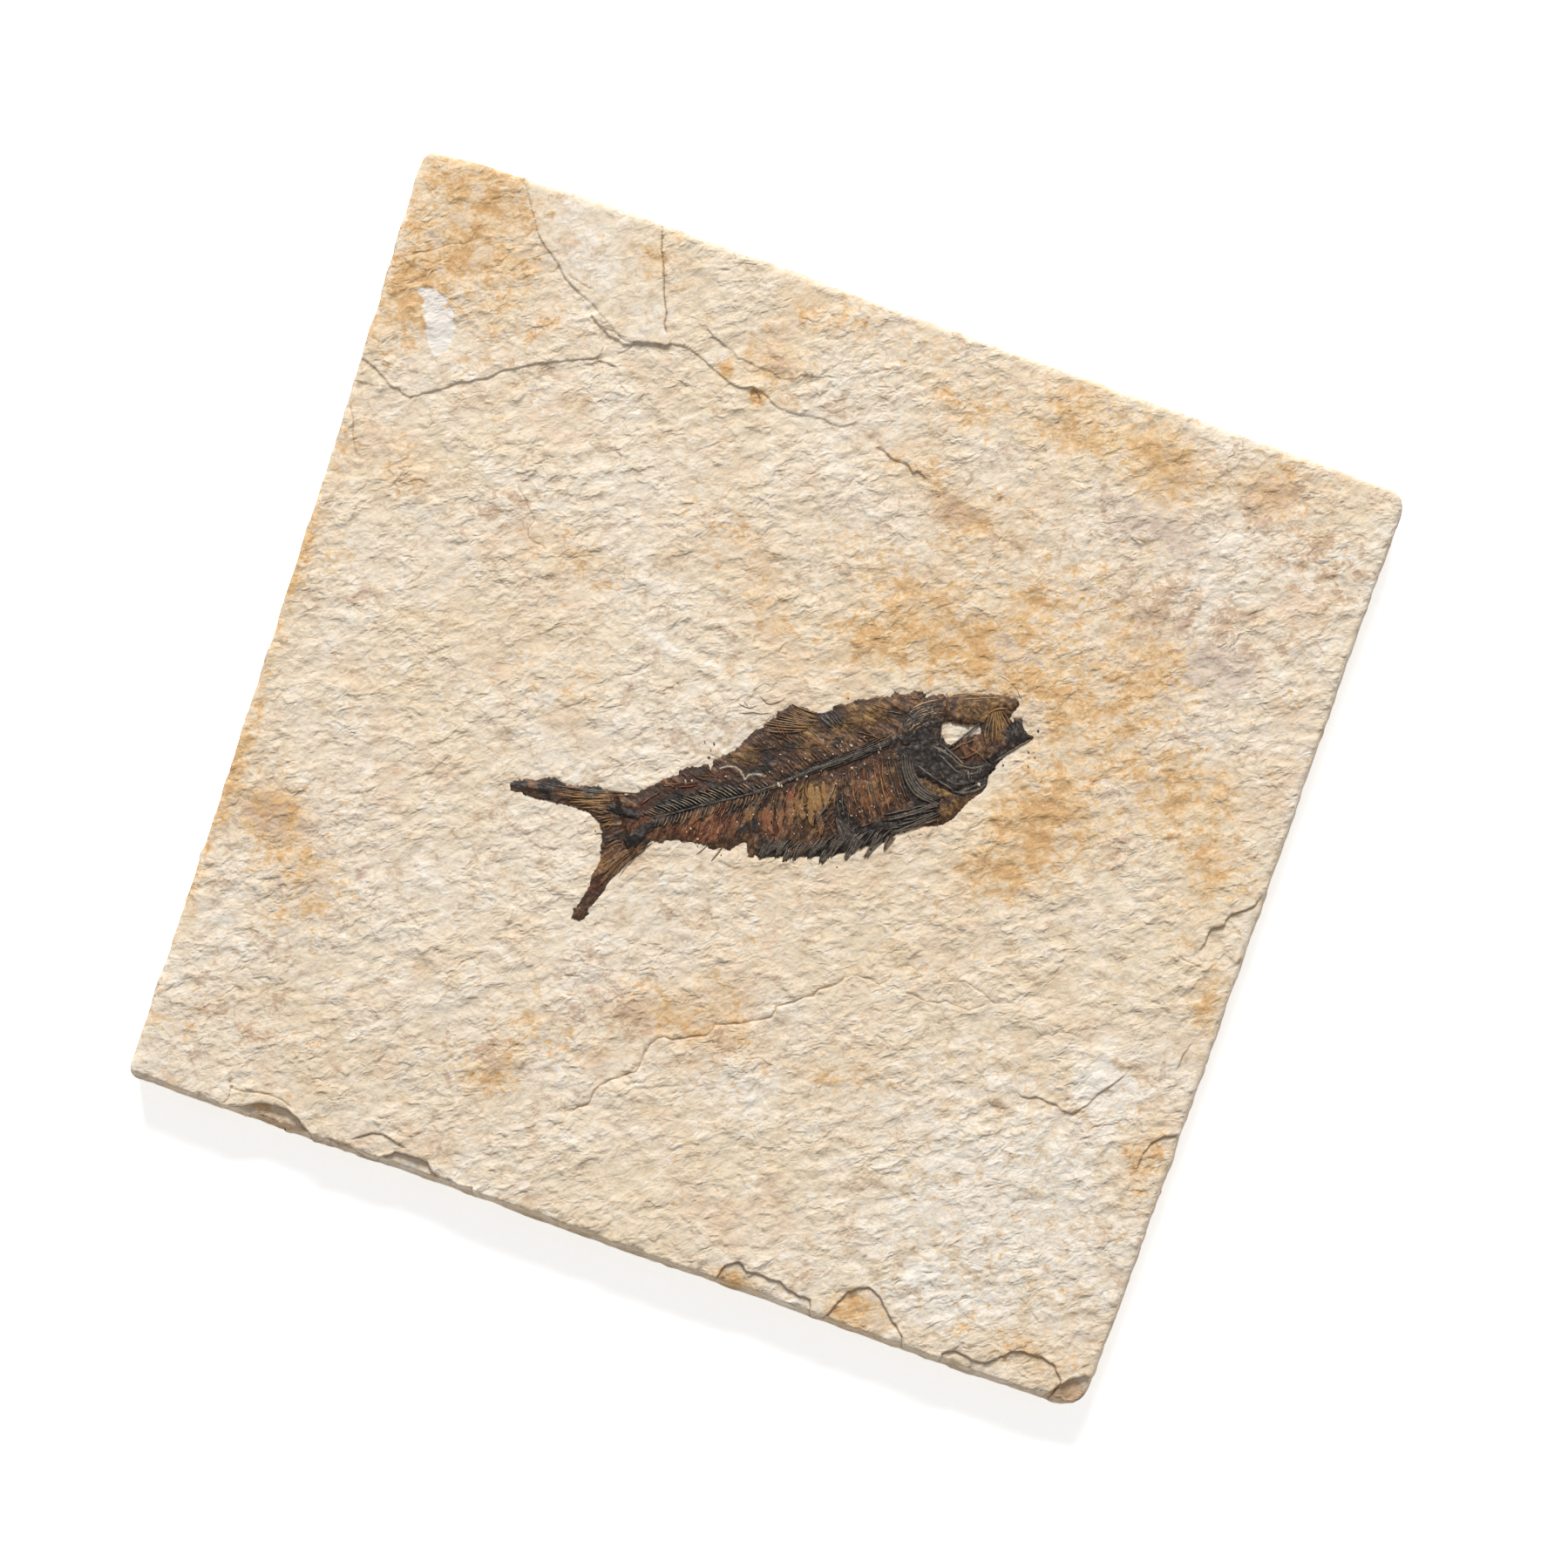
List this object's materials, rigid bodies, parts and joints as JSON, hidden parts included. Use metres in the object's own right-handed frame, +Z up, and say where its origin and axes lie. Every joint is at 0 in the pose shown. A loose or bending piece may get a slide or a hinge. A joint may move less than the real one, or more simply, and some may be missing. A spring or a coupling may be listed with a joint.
{
  "type": "fossil fish slab",
  "caption": "Square plate of pale laminated limestone with a flattened fossil fish fixed in its rough upper face; lies flat on its underside.",
  "frame": {"origin": "middle of the slab's outline, on the flat underside", "axes": "+X along the front edge to the right, +Y from the front edge to the back edge, +Z up out of the face that holds the fish"},
  "size_m": [0.1516, 0.1436, 0.0096],
  "materials": {
    "limestone": "rough, matt, finely dimpled cream limestone with ochre iron staining",
    "fossil_bone": "brown to blue-black mineral bone with a dull satin sheen"
  },
  "bodies": {
    "root": {"limestone_slab": "limestone", "fossil_fish": "fossil_bone"}
  },
  "joints": []
}
